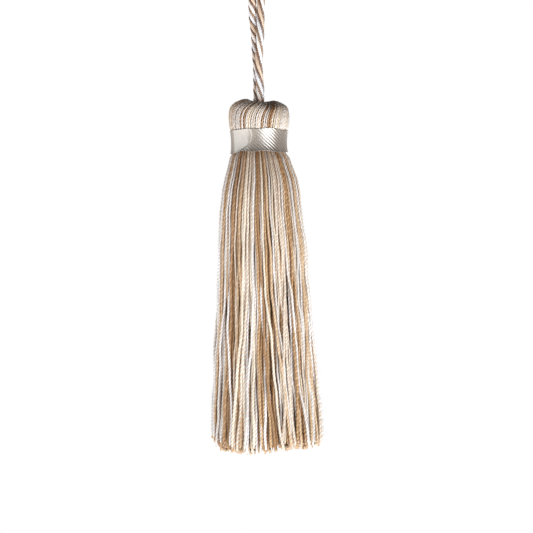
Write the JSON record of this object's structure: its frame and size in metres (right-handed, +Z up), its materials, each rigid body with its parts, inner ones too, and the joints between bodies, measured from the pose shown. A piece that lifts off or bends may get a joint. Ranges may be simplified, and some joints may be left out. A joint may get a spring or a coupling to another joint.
{
  "type": "cushion tassel",
  "caption": "Hanging tassel of twisted yarns turned down over a cord loop and bound at the neck with a satin ribbon, to trim a cushion, key or tieback.",
  "frame": {"origin": "inside of the cord loop's top, where a hook or button holds the tassel", "axes": "+Z up along the hanging tassel, -Y towards the viewer at the front, +X to the viewer's right"},
  "size_m": [0.045, 0.0462, 0.2056],
  "materials": {
    "twisted_yarn": "satin",
    "satin_ribbon": "satin",
    "twisted_cord": "satin"
  },
  "bodies": {
    "root": {"yarn_tassel": "twisted_yarn", "neck_band": "satin_ribbon", "hanging_cord": "twisted_cord"}
  },
  "joints": []
}
